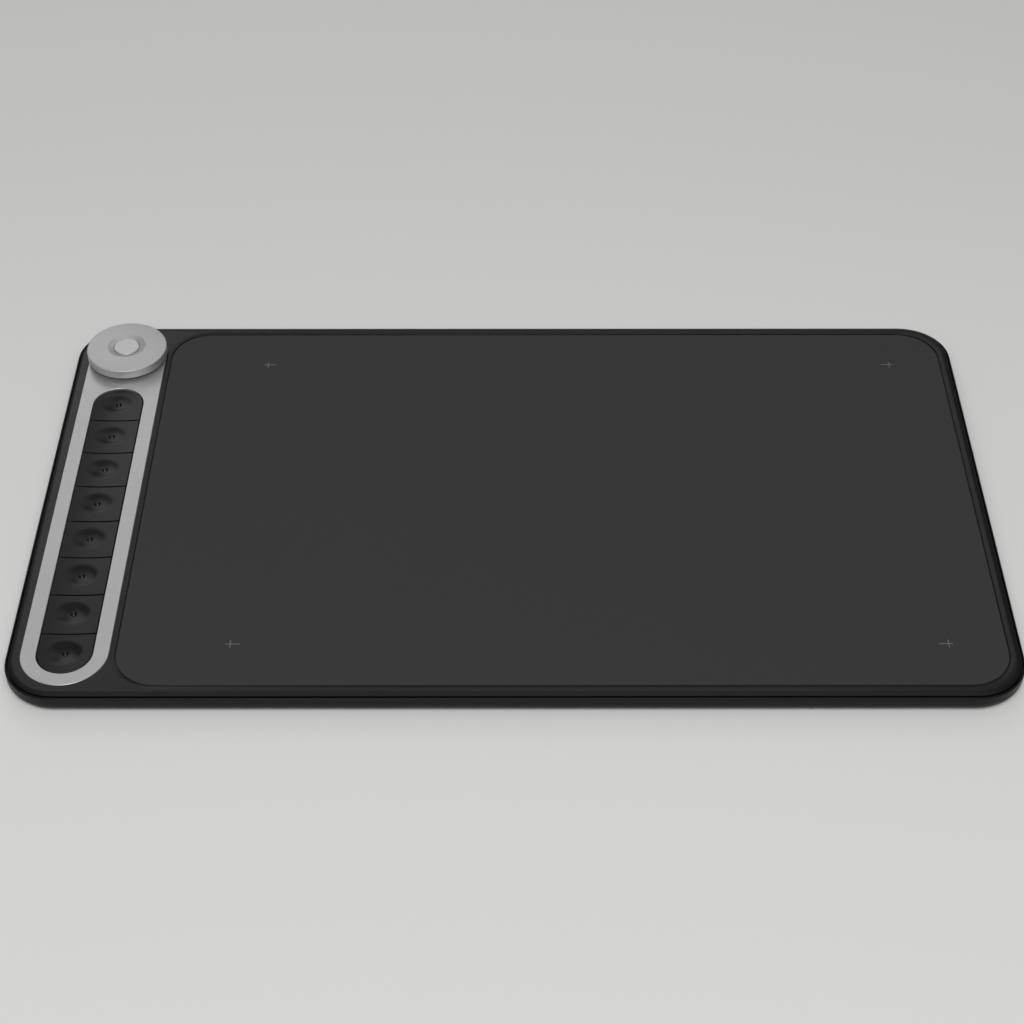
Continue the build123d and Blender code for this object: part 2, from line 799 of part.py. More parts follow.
def make_power_slider():
    """The slider, with its tab in the switch and a ridged grip at the back."""
    z = power_knob_z()
    y_low = power_body_back + power_knob_from_body
    y_high = case_depth / 2 - power_knob_sunk
    slider = block(power_x - power_knob_width / 2, power_x + power_knob_width / 2, y_low, y_high,
                   z - power_knob_height / 2, z + power_knob_height / 2)
    for i in range(power_grip_count):
        x = power_x + (i - (power_grip_count - 1) / 2) * power_grip_pitch
        slider -= block(x - power_grip_width / 2, x + power_grip_width / 2,
                        y_high - power_grip_deep, y_high + 1, z - power_knob_height, z + power_knob_height)
    return slider + block(power_x - power_tab_width / 2, power_x + power_tab_width / 2,
                          power_body_back - power_tab_length, y_low, z - power_tab_height / 2,
                          z + power_tab_height / 2)


def make_battery():
    return plate(battery_width, battery_depth, battery_corner, battery_x, battery_y,
                 floor_top + pad_thick, floor_top + pad_thick + battery_thick)


def make_battery_pad():
    return plate(battery_width - 2 * pad_inset, battery_depth - 2 * pad_inset, battery_corner,
                 battery_x, battery_y, floor_top, floor_top + pad_thick)


# Flat cables: one from the sensing board down to the main board, one across to the key board
sensor_plug_x = main_left + sensor_cable_along
sensor_plug_y = sensor_back - sensor_socket_from_edge
main_plug_y = main_back - main_socket_from_back
sensor_cable_top = sensor_low - connector_height / 2
main_cable_top = board_top + connector_height / 2
key_cable_y = dial_y
key_plug_x = key_board_right - key_cable_from_edge - connector_depth / 2
main_key_plug_x = main_left + key_cable_from_edge + connector_depth / 2


def make_connectors():
    """The cable sockets, each split around its cable's tail."""
    half = sensor_cable_width / 2 + connector_margin
    deep = connector_depth / 2
    key_half = key_cable_width / 2 + connector_margin
    sockets = [block(sensor_plug_x - half, sensor_plug_x + half, sensor_plug_y - deep, sensor_plug_y + deep,
                     sensor_low - connector_height, sensor_low),
               block(sensor_plug_x - half, sensor_plug_x + half, main_plug_y - deep, main_plug_y + deep,
                     board_top, board_top + connector_height)]
    sockets += [block(x - deep, x + deep, key_cable_y - key_half, key_cable_y + key_half,
                      board_top, board_top + connector_height) for x in (key_plug_x, main_key_plug_x)]
    cables = make_sensor_cable() + make_key_cable()
    return Compound([(socket - cables).solid() for socket in sockets])


def make_sensor_cable():
    """A flat cable that steps down from one board to the other."""
    y_from = sensor_plug_y - connector_depth / 2 + cable_tail
    y_to = main_plug_y + connector_depth / 2 - cable_tail
    bend = (y_from - y_to) / 5
    upper = [(y_from, sensor_cable_top), (y_from - cable_tail - bend, sensor_cable_top),
             (y_to + cable_tail + bend, main_cable_top), (y_to, main_cable_top)]
    lower = [(y, z - cable_thick) for y, z in reversed(upper)]
    outline = make_face(Polyline(*upper, *lower, close=True))
    strip = extrude(Plane.YZ * outline, amount=sensor_cable_width)
    return Pos(sensor_plug_x - sensor_cable_width / 2, 0, 0) * strip


def make_key_cable():
    x_from = key_plug_x + connector_depth / 2 - cable_tail
    x_to = main_key_plug_x - connector_depth / 2 + cable_tail
    return block(x_from, x_to, key_cable_y - key_cable_width / 2, key_cable_y + key_cable_width / 2,
                 main_cable_top - cable_thick, main_cable_top)


def make_battery_plug():
    """The battery lead's plug on the main board."""
    x = main_left + main_width - 3 * main_screw_inset
    return block(x - plug_width / 2, x + plug_width / 2, main_front, main_front + plug_depth,
                 board_top, board_top + plug_height)


def make_battery_leads():
    """Two wires from the battery to its plug, with round bends."""
    plug_x = main_left + main_width - 3 * main_screw_inset
    battery_lead_x = battery_x - battery_width / 2 + lead_from_side
    z = board_top + plug_height / 2
    leads = []
    for side in (-0.5, 0.5):
        shift = side * lead_pitch
        y = main_front - lead_from_board + shift
        path = FilletPolyline((battery_lead_x + shift, battery_y + battery_depth / 2, z),
                              (battery_lead_x + shift, y, z), (plug_x + shift, y, z),
                              (plug_x + shift, main_front, z), radius=lead_bend)
        ring = Plane(origin=path @ 0, z_dir=path % 0) * Circle(lead_radius)
        leads.append(sweep(ring, path=path).solid())
    return Compound(leads)


def make_rubber_feet():
    return Compound([make_foot(x, y, 0, under + foot_sunk) for x, y in foot_places])


def screw(x, y, z_seat, head, head_thick, shank, length, up=1):
    """A screw whose head seats at one height and whose shank runs up, or down for up = -1."""
    head_z = sorted((z_seat, z_seat - up * head_thick))
    shank_z = sorted((z_seat, z_seat + up * length))
    return drum(head, x, y, *head_z) + drum(shank, x, y, *shank_z)


def make_case_screws():
    return Compound([screw(x, y, post_split - seat_thick, case_screw_head, case_screw_head_thick,
                           case_screw_shank, case_screw_length).solid() for x, y in post_places])


def make_tray_screws():
    return Compound([screw(strip_x, y, board_low, small_screw_head, small_screw_head_thick,
                           small_screw_shank, small_screw_length).solid() for y in tray_screws_y])


def make_main_screws():
    return Compound([screw(x, y, board_top, small_screw_head, small_screw_head_thick,
                           small_screw_shank, small_screw_length, -1).solid() for x, y in main_posts])


save("bottom_cover", make_bottom_cover())
save("top_cover", make_top_cover())
save("drawing_sheet", make_drawing_sheet())
save("key_trim", make_key_trim())
save("key_tray", make_key_tray())
for number, place in enumerate(key_places, 1):
    save(f"key_{number}", make_key(place))
    save(f"key_stem_{number}", make_stem(place))
save("key_switches", Compound([make_switch(place).solid() for place in key_places]))
save("key_board", make_key_board())
save("dial_knob", make_dial_knob())
save("dial_shaft", make_dial_shaft())
save("dial_bush", make_dial_bush())
save("dial_ring", make_dial_ring())
save("encoder_wheel", make_encoder_wheel())
save("encoder_fork", make_encoder_fork())
save("dial_button", make_dial_button())
save("dial_switch_stem", make_stem(dial_y))
save("dial_switch", make_switch(dial_y))
save("sensor_board", make_sensor_board())
save("shield_plate", make_shield_plate())
save("main_board", make_main_board())
save("main_chips", make_main_chips())
save("usb_port", make_usb_port())
save("usb_tongue", make_usb_tongue())
save("power_switch", make_power_switch())
save("power_slider", make_power_slider())
save("status_lamp", make_status_lamp())
save("status_light", make_light_rod(light_radius, case_depth / 2 - light_sunk - light_reach,
                                    case_depth / 2 - light_sunk))
save("battery", make_battery())
save("battery_pad", make_battery_pad())
save("battery_plug", make_battery_plug())
save("battery_leads", make_battery_leads())
save("cable_sockets", make_connectors())
save("sensor_cable", make_sensor_cable())
save("key_cable", make_key_cable())
save("rubber_feet", make_rubber_feet())
save("case_screws", make_case_screws())
save("tray_screws", make_tray_screws())
save("main_screws", make_main_screws())
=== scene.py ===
import math

import bmesh
import bpy
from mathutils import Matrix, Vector


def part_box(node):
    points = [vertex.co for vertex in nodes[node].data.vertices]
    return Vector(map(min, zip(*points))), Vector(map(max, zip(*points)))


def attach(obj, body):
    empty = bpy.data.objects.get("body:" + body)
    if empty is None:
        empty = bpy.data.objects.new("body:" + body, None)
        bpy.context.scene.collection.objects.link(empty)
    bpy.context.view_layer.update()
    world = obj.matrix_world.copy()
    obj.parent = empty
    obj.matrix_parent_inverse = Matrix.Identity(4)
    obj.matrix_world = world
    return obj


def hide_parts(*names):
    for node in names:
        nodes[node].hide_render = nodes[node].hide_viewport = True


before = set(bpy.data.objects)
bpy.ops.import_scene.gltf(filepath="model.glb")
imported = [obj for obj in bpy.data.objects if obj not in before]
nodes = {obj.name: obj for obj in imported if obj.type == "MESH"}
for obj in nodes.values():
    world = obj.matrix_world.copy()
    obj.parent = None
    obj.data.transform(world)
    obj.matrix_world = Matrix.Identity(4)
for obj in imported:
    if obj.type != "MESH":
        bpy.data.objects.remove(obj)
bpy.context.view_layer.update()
bpy.ops.object.select_all(action="DESELECT")
print("frame loaded:", len(nodes), "nodes")

mm = 0.001
weldReach = 0.0005 * mm  # points of a finished piece nearer than this become one
solidReach = 0.001 * mm  # points nearer than this belong to the same solid

# Helpers for selecting, joining and finishing pieces


def activate(piece):
    bpy.ops.object.select_all(action="DESELECT")
    piece.select_set(True)
    bpy.context.view_layer.objects.active = piece


def bakePlace(piece):  # puts place, turn and scale into the mesh
    activate(piece)
    bpy.ops.object.transform_apply(location=True, rotation=True, scale=True)


def applyModifier(piece, kind, **settings):
    activate(piece)
    modifier = piece.modifiers.new(kind.lower(), kind)
    for key, value in settings.items():
        setattr(modifier, key, value)
    bpy.ops.object.modifier_apply(modifier=modifier.name)


def joinPieces(name, pieces):
    activate(pieces[0])
    for piece in pieces[1:]:
        piece.select_set(True)
    if len(pieces) > 1:
        bpy.ops.object.join()
    joined = bpy.context.object
    joined.name = name
    return joined


def copyPiece(piece):
    activate(piece)
    bpy.ops.object.duplicate(linked=False)
    return bpy.context.object


def settlePiece(piece, material, body, smoothAngle=35):
    bakePlace(piece)
    bpy.context.scene.cursor.location = (0, 0, 0)
    bpy.ops.object.origin_set(type="ORIGIN_CURSOR")
    bpy.ops.object.mode_set(mode="EDIT")
    bpy.ops.mesh.select_all(action="SELECT")
    bpy.ops.mesh.remove_doubles(threshold=weldReach)
    bpy.ops.mesh.normals_make_consistent(inside=False)
    bpy.ops.object.mode_set(mode="OBJECT")
    bpy.ops.object.shade_smooth_by_angle(angle=math.radians(smoothAngle))
    piece.data.materials.clear()
    piece.data.materials.append(material)
    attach(piece, body)
    return piece


def findSolids(nodeName):  # the points of each solid in a node
    shape = bmesh.new()
    shape.from_mesh(nodes[nodeName].data)
    bmesh.ops.remove_doubles(shape, verts=shape.verts, dist=solidReach)
    solids = []
    unseen = set(shape.verts)
    while unseen:
        reached = [unseen.pop()]
        island = []
        while reached:
            vert = reached.pop()
            island.append(vert.co.copy())
            for edge in vert.link_edges:
                other = edge.other_vert(vert)
                if other in unseen:
                    unseen.remove(other)
                    reached.append(other)
        solids.append(island)
    shape.free()
    return solids


def addNode(tree, kind, **settings):
    node = tree.nodes.new(kind)
    for key, value in settings.items():
        setattr(node, key, value)
    return node


# Shader groups that several materials share


def startGroup(name, inputs, outputs):
    group = bpy.data.node_groups.new(name, "ShaderNodeTree")
    for label, value in inputs:
        socket = group.interface.new_socket(label, in_out="INPUT", socket_type="NodeSocketFloat")
        socket.default_value = value
    for label in outputs:
        group.interface.new_socket(label, in_out="OUTPUT", socket_type="NodeSocketFloat")
    given = addNode(group, "NodeGroupInput")
    result = addNode(group, "NodeGroupOutput")
    place = addNode(group, "ShaderNodeTexCoord")
    return group, given, result, place.outputs["Object"]


def makeGrainGroup():
    group, given, result, place = startGroup(
        "mouldedGrain", (("Grain Scale", 4000.0), ("Cloud Scale", 20.0)), ("Grain", "Clouds"))
    noiseRoughness = 0.55
    for label, source, detail in (("Grain", "Grain Scale", 2.0), ("Clouds", "Cloud Scale", 3.0)):
        noise = addNode(group, "ShaderNodeTexNoise")
        noise.inputs["Detail"].default_value = detail
        noise.inputs["Roughness"].default_value = noiseRoughness
        group.links.new(place, noise.inputs["Vector"])
        group.links.new(given.outputs[source], noise.inputs["Scale"])
        group.links.new(noise.outputs["Fac"], result.inputs[label])
    return group


def makeRingGroup():
    group, given, result, place = startGroup(
        "turnedRings", (("Centre X", 0.0), ("Centre Y", 0.0), ("Rings Per Metre", 4000.0)), ("Rings",))
    centre = addNode(group, "ShaderNodeCombineXYZ")
    group.links.new(given.outputs["Centre X"], centre.inputs["X"])
    group.links.new(given.outputs["Centre Y"], centre.inputs["Y"])
    shifted = addNode(group, "ShaderNodeVectorMath", operation="SUBTRACT")
    group.links.new(place, shifted.inputs[0])
    group.links.new(centre.outputs["Vector"], shifted.inputs[1])
    level = addNode(group, "ShaderNodeVectorMath", operation="MULTIPLY")
    level.inputs[1].default_value = (1, 1, 0)
    group.links.new(shifted.outputs["Vector"], level.inputs[0])
    radius = addNode(group, "ShaderNodeVectorMath", operation="LENGTH")
    group.links.new(level.outputs["Vector"], radius.inputs[0])
    turns = addNode(group, "ShaderNodeMath", operation="MULTIPLY")
    group.links.new(radius.outputs["Value"], turns.inputs[0])
    group.links.new(given.outputs["Rings Per Metre"], turns.inputs[1])
    noise = addNode(group, "ShaderNodeTexNoise", noise_dimensions="1D")
    noise.inputs["Detail"].default_value = 3.0
    noise.inputs["Scale"].default_value = 1.0
    group.links.new(turns.outputs["Value"], noise.inputs["W"])
    group.links.new(noise.outputs["Fac"], result.inputs["Rings"])
    return group


def makeTrackGroup():
    group, given, result, place = startGroup("boardTracks", (("Scale", 600.0),), ("Tracks", "Pads"))
    padReach = 0.13
    bricks = addNode(group, "ShaderNodeTexBrick", offset=0.37, squash=2.0, squash_frequency=3)
    for label, value in (("Mortar Size", 0.05), ("Brick Width", 1.7), ("Row Height", 0.4)):
        bricks.inputs[label].default_value = value
    pads = addNode(group, "ShaderNodeTexVoronoi")
    dots = addNode(group, "ShaderNodeMath", operation="LESS_THAN")
    dots.inputs[1].default_value = padReach
    for texture in (bricks, pads):
        group.links.new(place, texture.inputs["Vector"])
        group.links.new(given.outputs["Scale"], texture.inputs["Scale"])
    group.links.new(pads.outputs["Distance"], dots.inputs[0])
    group.links.new(bricks.outputs["Fac"], result.inputs["Tracks"])
    group.links.new(dots.outputs["Value"], result.inputs["Pads"])
    return group


grainGroup = makeGrainGroup()
ringGroup = makeRingGroup()
trackGroup = makeTrackGroup()

# Materials, each made from one dictionary

# What a finish has where its own dictionary says nothing; grainDepth is in millimetres
plainLook = {"grainScale": 4000.0, "cloudScale": 20.0, "trackScale": 600.0, "spread": 0.04,
             "roughSpread": 0.03, "grainStrength": 0.3, "grainDepth": 0.01, "metal": 0.0, "specular": 0.5,
             "coat": 0.0}
cloudRange = (0.3, 0.7)  # the part of the cloud noise that changes the roughness


def shade(colour, factor):
    return tuple(min(1.0, part * factor) for part in colour) + (1,)


def mixColour(tree, factor, first, second):
    mixer = addNode(tree, "ShaderNodeMix", data_type="RGBA")
    tree.links.new(factor, mixer.inputs["Factor"])
    for socket, value in (("A", first), ("B", second)):
        if isinstance(value, tuple):
            mixer.inputs[socket].default_value = value
        else:
            tree.links.new(value, mixer.inputs[socket])
    return mixer.outputs["Result"]


def makeFinish(name, ownLook):
    look = {**plainLook, **ownLook}
    material = bpy.data.materials.new(name)
    material.use_nodes = True
    tree = material.node_tree
    shader = tree.nodes["Principled BSDF"]
    grain = addNode(tree, "ShaderNodeGroup")
    grain.node_tree = grainGroup
    grain.inputs["Grain Scale"].default_value = look["grainScale"]
    grain.inputs["Cloud Scale"].default_value = look["cloudScale"]
    tone = mixColour(tree, grain.outputs["Clouds"], shade(look["colour"], 1 - look["spread"]),
                     shade(look["colour"], 1 + look["spread"]))
    height = grain.outputs["Grain"]
    if "ringCentre" in look:
        rings = addNode(tree, "ShaderNodeGroup")
        rings.node_tree = ringGroup
        rings.inputs["Centre X"].default_value = look["ringCentre"][0]
        rings.inputs["Centre Y"].default_value = look["ringCentre"][1]
        blend = addNode(tree, "ShaderNodeMath", operation="MULTIPLY_ADD")
        blend.inputs[1].default_value = look["ringStrength"]
        tree.links.new(rings.outputs["Rings"], blend.inputs[0])
        tree.links.new(height, blend.inputs[2])
        height = blend.outputs["Value"]
    if "trackColour" in look:
        tracks = addNode(tree, "ShaderNodeGroup")
        tracks.node_tree = trackGroup
        tracks.inputs["Scale"].default_value = look["trackScale"]
        tone = mixColour(tree, tracks.outputs["Tracks"], tone, look["trackColour"] + (1,))
        tone = mixColour(tree, tracks.outputs["Pads"], tone, look["padColour"] + (1,))
        height = tracks.outputs["Tracks"]
    tree.links.new(tone, shader.inputs["Base Color"])
    rough = addNode(tree, "ShaderNodeMapRange")
    rough.inputs["From Min"].default_value, rough.inputs["From Max"].default_value = cloudRange
    rough.inputs["To Min"].default_value = look["rough"] - look["roughSpread"]
    rough.inputs["To Max"].default_value = look["rough"] + look["roughSpread"]
    tree.links.new(grain.outputs["Clouds"], rough.inputs["Value"])
    tree.links.new(rough.outputs["Result"], shader.inputs["Roughness"])
    bump = addNode(tree, "ShaderNodeBump")
    bump.inputs["Strength"].default_value = look["grainStrength"]
    bump.inputs["Distance"].default_value = look["grainDepth"] * mm
    tree.links.new(height, bump.inputs["Height"])
    tree.links.new(bump.outputs["Normal"], shader.inputs["Normal"])
    for socket, part in (("Metallic", "metal"), ("Specular IOR Level", "specular"), ("Coat Weight", "coat")):
        shader.inputs[socket].default_value = look[part]
    return material


def paint(material, *names):
    for name in names:
        for slot in nodes[name].material_slots:
            slot.material = material


dialLow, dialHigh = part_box("dial_knob")
dialCentre = ((dialLow[0] + dialHigh[0]) / 2, (dialLow[1] + dialHigh[1]) / 2)

finishes = {
    "sheetFilm": {"colour": (0.0380, 0.0380, 0.0402), "rough": 0.72, "grainScale": 3500, "grainDepth": 0.02,
                  "grainStrength": 0.5, "spread": 0.02, "specular": 0.25},
    "coverPlastic": {"colour": (0.0045, 0.0045, 0.0048), "rough": 0.34, "grainScale": 5000,
                     "grainDepth": 0.006, "specular": 0.38},
    "shellPlastic": {"colour": (0.0045, 0.0045, 0.0048), "rough": 0.40, "grainScale": 4000,
                     "grainDepth": 0.01, "specular": 0.22},
    "keyPlastic": {"colour": (0.0045, 0.0045, 0.0048), "rough": 0.29, "grainScale": 5000,
                   "grainDepth": 0.004, "specular": 0.27},
    "silverTrim": {"colour": (0.585, 0.585, 0.595), "rough": 0.44, "metal": 0.80, "grainScale": 6000,
                   "grainDepth": 0.006},
    "silverDial": {"colour": (0.65, 0.65, 0.66), "rough": 0.52, "metal": 0.78, "grainScale": 6000,
                   "grainDepth": 0.006, "ringCentre": dialCentre, "ringStrength": 0.5},
    "silverButton": {"colour": (0.70, 0.70, 0.71), "rough": 0.48, "metal": 0.75, "grainScale": 6000,
                     "grainDepth": 0.006, "ringCentre": dialCentre, "ringStrength": 0.5},
    "innerPlastic": {"colour": (0.03, 0.03, 0.03), "rough": 0.5},
    "paleAcetal": {"colour": (0.62, 0.60, 0.55), "rough": 0.45},
    "turnedSteel": {"colour": (0.55, 0.55, 0.56), "rough": 0.30, "metal": 1.0, "ringCentre": dialCentre,
                    "ringStrength": 2.0, "grainDepth": 0.02},
    "portSteel": {"colour": (0.60, 0.60, 0.61), "rough": 0.28, "metal": 1.0, "grainScale": 3000},
    "blackSteel": {"colour": (0.08, 0.08, 0.085), "rough": 0.34, "metal": 0.9, "grainScale": 9000},
    "boardGreen": {"colour": (0.010, 0.090, 0.035), "rough": 0.30, "cloudScale": 90, "spread": 0.15,
                   "trackColour": (0.016, 0.135, 0.055), "padColour": (0.60, 0.42, 0.16),
                   "grainDepth": 0.03},
    "chipBlack": {"colour": (0.015, 0.015, 0.015), "rough": 0.5, "grainScale": 9000},
    "contactGold": {"colour": (0.83, 0.58, 0.25), "rough": 0.22, "metal": 1.0, "grainScale": 9000},
    "shieldMetal": {"colour": (0.7, 0.7, 0.71), "rough": 0.3, "metal": 1.0, "cloudScale": 60},
    "lightClear": {"colour": (0.66, 0.69, 0.72), "rough": 0.18, "coat": 0.5},
    "batteryFoil": {"colour": (0.6, 0.6, 0.61), "rough": 0.35, "metal": 0.8, "cloudScale": 120,
                    "grainScale": 900, "grainDepth": 0.03},
    "foam": {"colour": (0.03, 0.03, 0.03), "rough": 0.9, "grainScale": 1500, "grainDepth": 0.1},
    "leadSleeve": {"colour": (0.25, 0.01, 0.01), "rough": 0.4},
    "cableFilm": {"colour": (0.35, 0.12, 0.01), "rough": 0.3, "trackColour": (0.42, 0.17, 0.03),
                  "padColour": (0.42, 0.17, 0.03), "trackScale": 900},
    "footRubber": {"colour": (0.016, 0.016, 0.016), "rough": 0.78, "grainScale": 2500, "grainDepth": 0.04,
                   "grainStrength": 0.6},
    "markInk": {"colour": (0.13, 0.13, 0.135), "rough": 0.7, "grainScale": 6000, "spread": 0.08},
}
made = {name: makeFinish(name, look) for name, look in finishes.items()}

keyNames = ["key_%d" % n for n in range(1, 9)]
stemNames = ["key_stem_%d" % n for n in range(1, 9)]
wearers = {
    "sheetFilm": ["drawing_sheet"],
    "coverPlastic": ["top_cover"],
    "shellPlastic": ["bottom_cover"],
    "keyPlastic": keyNames + ["power_slider"],
    "silverTrim": ["key_trim"],
    "silverDial": ["dial_knob"],
    "silverButton": ["dial_button"],
    "innerPlastic": ["key_tray", "encoder_fork", "power_switch", "key_switches", "dial_switch"],
    "paleAcetal": stemNames + ["dial_switch_stem", "dial_bush", "battery_plug", "cable_sockets"],
    "turnedSteel": ["dial_shaft", "dial_ring", "encoder_wheel"],
    "portSteel": ["usb_port"],
    "boardGreen": ["key_board", "sensor_board", "main_board"],
    "chipBlack": ["main_chips", "usb_tongue"],
    "shieldMetal": ["shield_plate"],
    "lightClear": ["status_light", "status_lamp"],
    "batteryFoil": ["battery"],
    "foam": ["battery_pad"],
    "leadSleeve": ["battery_leads"],
    "cableFilm": ["sensor_cable", "key_cable"],
    "footRubber": ["rubber_feet"],
    "blackSteel": ["case_screws", "tray_screws", "main_screws"],
}
for finish, names in wearers.items():
    paint(made[finish], *names)
print("finishes on", sum(len(names) for names in wearers.values()), "nodes")

# Printed marks at the corners of the drawing area

markPlan = {"area": (266.7 * mm, 166.7 * mm), "line": 0.4 * mm, "upright": 1.8 * mm,
            "inward": 3.3 * mm, "outward": 1.5 * mm, "ink": 0.015 * mm, "back": 0.5 * mm, "nearShare": 0.1}


def extrudeSide(piece, direction, length):
    bpy.ops.object.mode_set(mode="OBJECT")
    mesh = piece.data
    for part in list(mesh.vertices) + list(mesh.edges) + list(mesh.polygons):
        part.select = False
    reach = markPlan["line"] / 2
    for edge in mesh.edges:
        middle = (mesh.vertices[edge.vertices[0]].co + mesh.vertices[edge.vertices[1]].co) / 2
        if (middle - direction * reach).length < markPlan["nearShare"] * reach:
            edge.select = True
            for index in edge.vertices:
                mesh.vertices[index].select = True
    bpy.ops.object.mode_set(mode="EDIT")
    bpy.ops.mesh.select_mode(type="EDGE")
    bpy.ops.mesh.extrude_region_move(TRANSFORM_OT_translate={"value": direction * length})
    bpy.ops.object.mode_set(mode="OBJECT")


def makeMark(sideX, sideY):
    boardLow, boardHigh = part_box("sensor_board")
    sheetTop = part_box("drawing_sheet")[1][2]
    centreX = (boardLow[0] + boardHigh[0]) / 2
    bpy.ops.mesh.primitive_plane_add(size=markPlan["line"])
    mark = bpy.context.object
    extrudeSide(mark, Vector((-sideX, 0, 0)), markPlan["inward"])
    extrudeSide(mark, Vector((sideX, 0, 0)), markPlan["outward"])
    extrudeSide(mark, Vector((0, 1, 0)), markPlan["upright"])
    extrudeSide(mark, Vector((0, -1, 0)), markPlan["upright"])
    applyModifier(mark, "SOLIDIFY", thickness=markPlan["ink"], offset=1)
    mark.location = (centreX + sideX * markPlan["area"][0] / 2,
                     markPlan["back"] + sideY * markPlan["area"][1] / 2, sheetTop)
    return mark


marks = joinPieces("cornerMarks", [makeMark(x, y) for x in (-1, 1) for y in (-1, 1)])
settlePiece(marks, made["markInk"], "case")
print("corner marks printed")

# Screws, each with a rolled thread and a cross recess in its head

# Shares of the head's or the shank's size
screwPlan = {"core": 0.78, "coreRound": 0.3, "threadPitch": 0.42, "bevel": 0.12, "recessWidth": 0.30,
             "recessReach": 0.68, "recessDepth": 0.55, "recessRound": 0.1, "rimFrom": 0.95, "shankTo": 0.9}
screwFacets = {"head": 48, "core": 24, "thread": 20}
screwLevel = 0.01 * mm  # how near a rim point and the lowest point are when the head is down


def measureScrew(points):
    low = Vector([min(point[i] for point in points) for i in range(3)])
    high = Vector([max(point[i] for point in points) for i in range(3)])
    axis = (low + high) / 2
    headRadius = (high.x - low.x) / 2
    distances = [(Vector((point.x - axis.x, point.y - axis.y)).length, point.z) for point in points]
    rim = [z for distance, z in distances if distance > screwPlan["rimFrom"] * headRadius]
    shankRadius = max(distance for distance, z in distances if distance < screwPlan["shankTo"] * headRadius)
    headDown = min(rim) - low.z < screwLevel
    seat = max(rim) if headDown else min(rim)
    length = high.z - seat if headDown else seat - low.z
    return {"centre": (axis.x, axis.y, seat), "head": headRadius, "thick": max(rim) - min(rim),
            "shank": shankRadius, "length": length, "headDown": headDown}


def makeRecessCutter(head, thick):
    arms = []
    for turn in (0, math.pi / 2):
        bpy.ops.mesh.primitive_cube_add(size=1, location=(0, 0, -thick), rotation=(0, 0, turn))
        arm = bpy.context.object
        arm.scale = (2 * screwPlan["recessReach"] * head, screwPlan["recessWidth"] * head,
                     2 * screwPlan["recessDepth"] * thick)
        applyModifier(arm, "BEVEL", width=screwPlan["recessRound"], segments=2)
        bakePlace(arm)
        arms.append(arm)
    return arms


def makeScrew(facts):
    head, thick, shank, length = facts["head"], facts["thick"], facts["shank"], facts["length"]
    bpy.ops.mesh.primitive_cylinder_add(vertices=screwFacets["head"], radius=head, depth=thick,
                                        location=(0, 0, -thick / 2))
    cap = bpy.context.object
    bakePlace(cap)
    applyModifier(cap, "BEVEL", width=screwPlan["bevel"] * head, segments=3, limit_method="ANGLE")
    for arm in makeRecessCutter(head, thick):
        applyModifier(cap, "BOOLEAN", object=arm, operation="DIFFERENCE", solver="EXACT")
        bpy.data.objects.remove(arm)
    bpy.ops.mesh.primitive_cylinder_add(vertices=screwFacets["core"], radius=shank * screwPlan["core"],
                                        depth=length, location=(0, 0, length / 2))
    core = bpy.context.object
    applyModifier(core, "BEVEL", width=screwPlan["coreRound"] * shank, segments=2, limit_method="ANGLE")
    ridge = shank * (1 - screwPlan["core"])
    pitch = screwPlan["threadPitch"] * shank * 2
    turns = int((length - 2 * pitch) / pitch)
    bpy.ops.mesh.primitive_circle_add(vertices=3, radius=ridge, rotation=(-math.pi / 2, 0, 0),
                                      location=(shank - ridge, 0, pitch))
    thread = bpy.context.object
    bakePlace(thread)
    applyModifier(thread, "SCREW", screw_offset=pitch, iterations=turns, steps=screwFacets["thread"],
                  render_steps=screwFacets["thread"])
    return joinPieces("screw", [cap, core, thread])


def makeScrews(nodeName, pieceName):
    facts = [measureScrew(points) for points in findSolids(nodeName)]
    first = makeScrew(facts[0])
    copies = []
    for fact in facts:
        screw = copyPiece(first)
        screw.location = fact["centre"]
        screw.rotation_euler = (0 if fact["headDown"] else math.pi, 0, 0)
        copies.append(screw)
    bpy.data.objects.remove(first)
    screws = joinPieces(pieceName, copies)
    settlePiece(screws, made["blackSteel"], "case", smoothAngle=30)
    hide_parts(nodeName)
    print(pieceName, len(facts), "modelled")


for nodeName, pieceName in (("case_screws", "caseScrews"), ("tray_screws", "trayScrews"),
                            ("main_screws", "mainScrews")):
    makeScrews(nodeName, pieceName)

# Contacts on both sides of the port's tongue

contactPlan = {"count": 12, "pitch": 0.5 * mm, "width": 0.3 * mm, "length": 3.4 * mm, "inset": 0.5 * mm,
               "thick": 0.03 * mm, "cornerRound": 0.09 * mm}


def makeContact():
    bpy.ops.mesh.primitive_plane_add(size=1)
    contact = bpy.context.object
    contact.scale = (contactPlan["width"], contactPlan["length"], 1)
    bakePlace(contact)
    applyModifier(contact, "BEVEL", width=contactPlan["cornerRound"], segments=3, affect="VERTICES")
    applyModifier(contact, "SOLIDIFY", thickness=contactPlan["thick"], offset=0)
    return contact


tongueLow, tongueHigh = (Vector(corner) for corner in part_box("usb_tongue"))
firstContact = makeContact()
contactCopies = []
for level in (tongueLow.z, tongueHigh.z):
    for number in range(contactPlan["count"]):
        contact = copyPiece(firstContact)
        contact.location = ((tongueLow.x + tongueHigh.x) / 2
                            + (number - (contactPlan["count"] - 1) / 2) * contactPlan["pitch"],
                            tongueHigh.y - contactPlan["inset"] - contactPlan["length"] / 2, level)
        contactCopies.append(contact)
bpy.data.objects.remove(firstContact)
settlePiece(joinPieces("portContacts", contactCopies), made["contactGold"], "case")
print("port contacts made")

# A smooth cone over the nub in each key's dish

nubPlan = {"foot": 1.36 * mm, "top": 0.62 * mm, "height": 0.70 * mm, "round": 0.14 * mm, "behind": 0.8 * mm,
           "proud": 0.02 * mm, "search": 0.9 * mm, "sides": 64}


